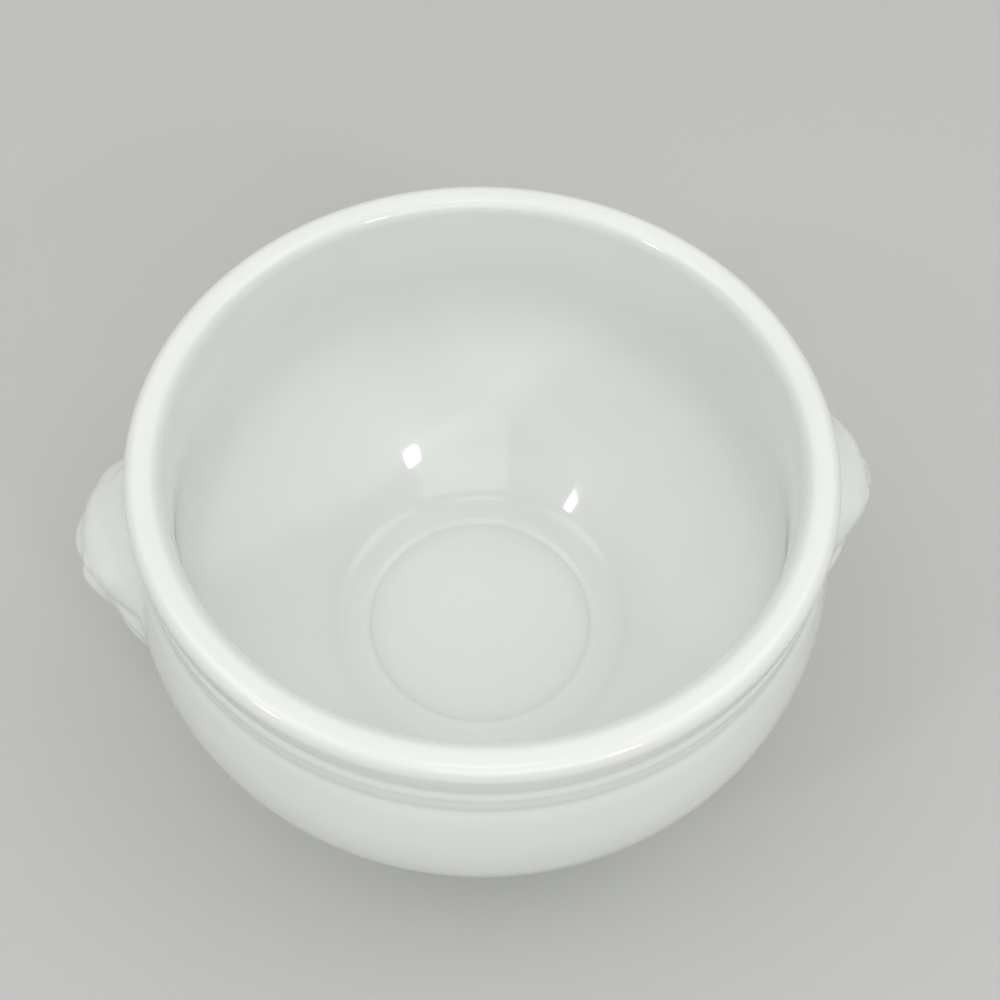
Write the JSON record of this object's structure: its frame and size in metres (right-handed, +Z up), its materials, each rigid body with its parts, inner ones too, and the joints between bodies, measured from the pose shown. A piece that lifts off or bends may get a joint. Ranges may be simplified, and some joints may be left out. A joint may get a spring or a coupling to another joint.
{
  "type": "onion soup crock",
  "caption": "Round white porcelain soup crock with a rolled rim, a full belly on a low foot ring and a lion's mask on each side as a lug.",
  "frame": {"origin": "centre of the foot ring's standing face, at the middle of the part's box in plan and at its lowest point", "axes": "+X through the nose of the right-hand lion's mask, so the two masks lie on +X and -X; +Z up, out of the bowl's mouth; the bowl is round about Z"},
  "size_m": [0.1476, 0.1282, 0.077],
  "materials": {
    "white_glaze": "clear glossy glaze over white hard-fired porcelain"
  },
  "bodies": {
    "root": {"bowl_wall": "white_glaze", "rim_roll": "white_glaze", "foot_ring": "white_glaze", "lion_mask_left": "white_glaze", "lion_mask_right": "white_glaze"}
  },
  "joints": []
}
